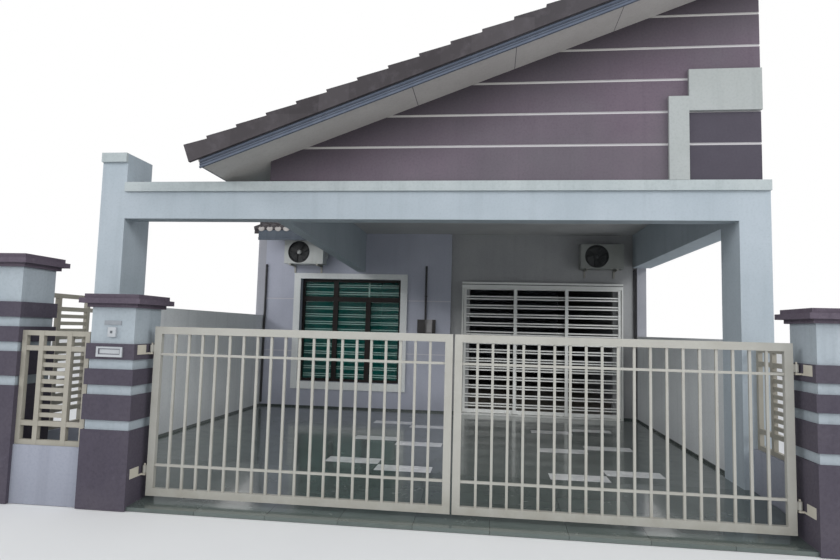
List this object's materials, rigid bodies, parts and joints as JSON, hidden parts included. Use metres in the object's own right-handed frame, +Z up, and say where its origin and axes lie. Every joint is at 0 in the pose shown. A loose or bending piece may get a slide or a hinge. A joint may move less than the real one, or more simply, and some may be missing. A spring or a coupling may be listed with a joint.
{
  "type": "terrace bungalow with car porch",
  "caption": "Single-storey terrace house: open car porch under a half gable, front window, sliding grille door and a double swing gate between banded posts.",
  "frame": {"origin": "ground level, midway between the party lines, in the plane of the porch columns' front faces", "axes": "front faces -Y, +X to the right seen from the street, +Z up"},
  "size_m": [7.245, 18.499, 5.7452],
  "materials": {
    "floor_tile": "gloss",
    "house_floor": "satin",
    "frame_paint": "matt",
    "coping_paint": "matt",
    "ceiling_paint": "matt",
    "gable_paint": "matt",
    "white_trim": "matt",
    "roof_tile": "matt",
    "fascia_paint": "satin",
    "soffit_board": "matt",
    "lavender_wall": "matt",
    "grey_wall": "matt",
    "party_wall": "matt",
    "yard_wall": "matt",
    "post_white": "matt",
    "post_band": "matt",
    "post_cap": "matt",
    "grille_cream": "satin",
    "bronze_frame": "satin",
    "teal_glass": "gloss",
    "bar_white": "satin",
    "track_white": "satin",
    "panel_white": "satin",
    "ac_white": "satin",
    "bracket_steel": "satin",
    "dark_pvc": "matt",
    "skirting_tile": "satin",
    "meter_dark": "matt",
    "plate_grey": "satin",
    "gate_cream": "satin"
  },
  "bodies": {
    "house": {"porch_floor": "floor_tile", "house_floor": "house_floor", "columns": "frame_paint", "front_beam": "frame_paint", "beam_coping": "coping_paint", "deep_beams": "frame_paint", "porch_ceiling": "ceiling_paint", "gable_wall": "gable_paint", "gable_frame": "white_trim", "gable_deck": "roof_tile", "gable_ridge": "roof_tile", "gable_barge": "fascia_paint", "gable_verge_caps": "roof_tile", "gable_soffit": "soffit_board", "gable_eave_board": "fascia_paint", "main_roof_front": "roof_tile", "main_roof_back": "roof_tile", "main_ridge": "roof_tile", "eave_boards": "fascia_paint", "window_wall": "lavender_wall", "door_wall_left": "grey_wall", "door_wall_right": "grey_wall", "door_lintel": "grey_wall", "back_wall": "lavender_wall", "party_walls": "party_wall", "boundary_walls": "yard_wall", "post_cores": "post_white", "post_bands": "post_band", "post_caps": "post_cap", "low_walls": "yard_wall", "infill_grilles": "grille_cream", "window_surround": "white_trim", "window_frame": "bronze_frame", "window_glass": "teal_glass", "window_grille": "bar_white", "grille_track": "track_white", "ac_units": "ac_white", "ac_brackets": "bracket_steel", "conduits": "dark_pvc", "skirting": "skirting_tile", "meter_box": "meter_dark", "post_fittings": "plate_grey", "hinge_brackets": "bracket_steel"},
    "gate_leaf_left": {"leaf_left": "gate_cream"},
    "gate_leaf_right": {"leaf_right": "gate_cream"},
    "door_panel_left": {"panel_left": "panel_white"},
    "door_panel_middle": {"panel_middle": "panel_white"},
    "door_panel_right": {"panel_right": "panel_white"}
  },
  "joints": [
    {"name": "gate_left_swing", "type": "hinge", "parent": "house", "child": "gate_leaf_left", "pos_m": [-2.0615, -1.2175, 0.7], "axis": [0, 0, -1], "range_deg": [0, 90]},
    {"name": "gate_right_swing", "type": "hinge", "parent": "house", "child": "gate_leaf_right", "pos_m": [3.1095, -1.2175, 0.7], "axis": [0, 0, 1], "range_deg": [0, 90]},
    {"name": "door_left_slide", "type": "slide", "parent": "house", "child": "door_panel_left", "axis": [1, 0, 0], "range_m": [0, 1.726]},
    {"name": "door_middle_slide", "type": "slide", "parent": "house", "child": "door_panel_middle", "axis": [1, 0, 0], "range_m": [-0.863, 0.863]},
    {"name": "door_right_slide", "type": "slide", "parent": "house", "child": "door_panel_right", "axis": [1, 0, 0], "range_m": [-1.726, 0]}
  ]
}
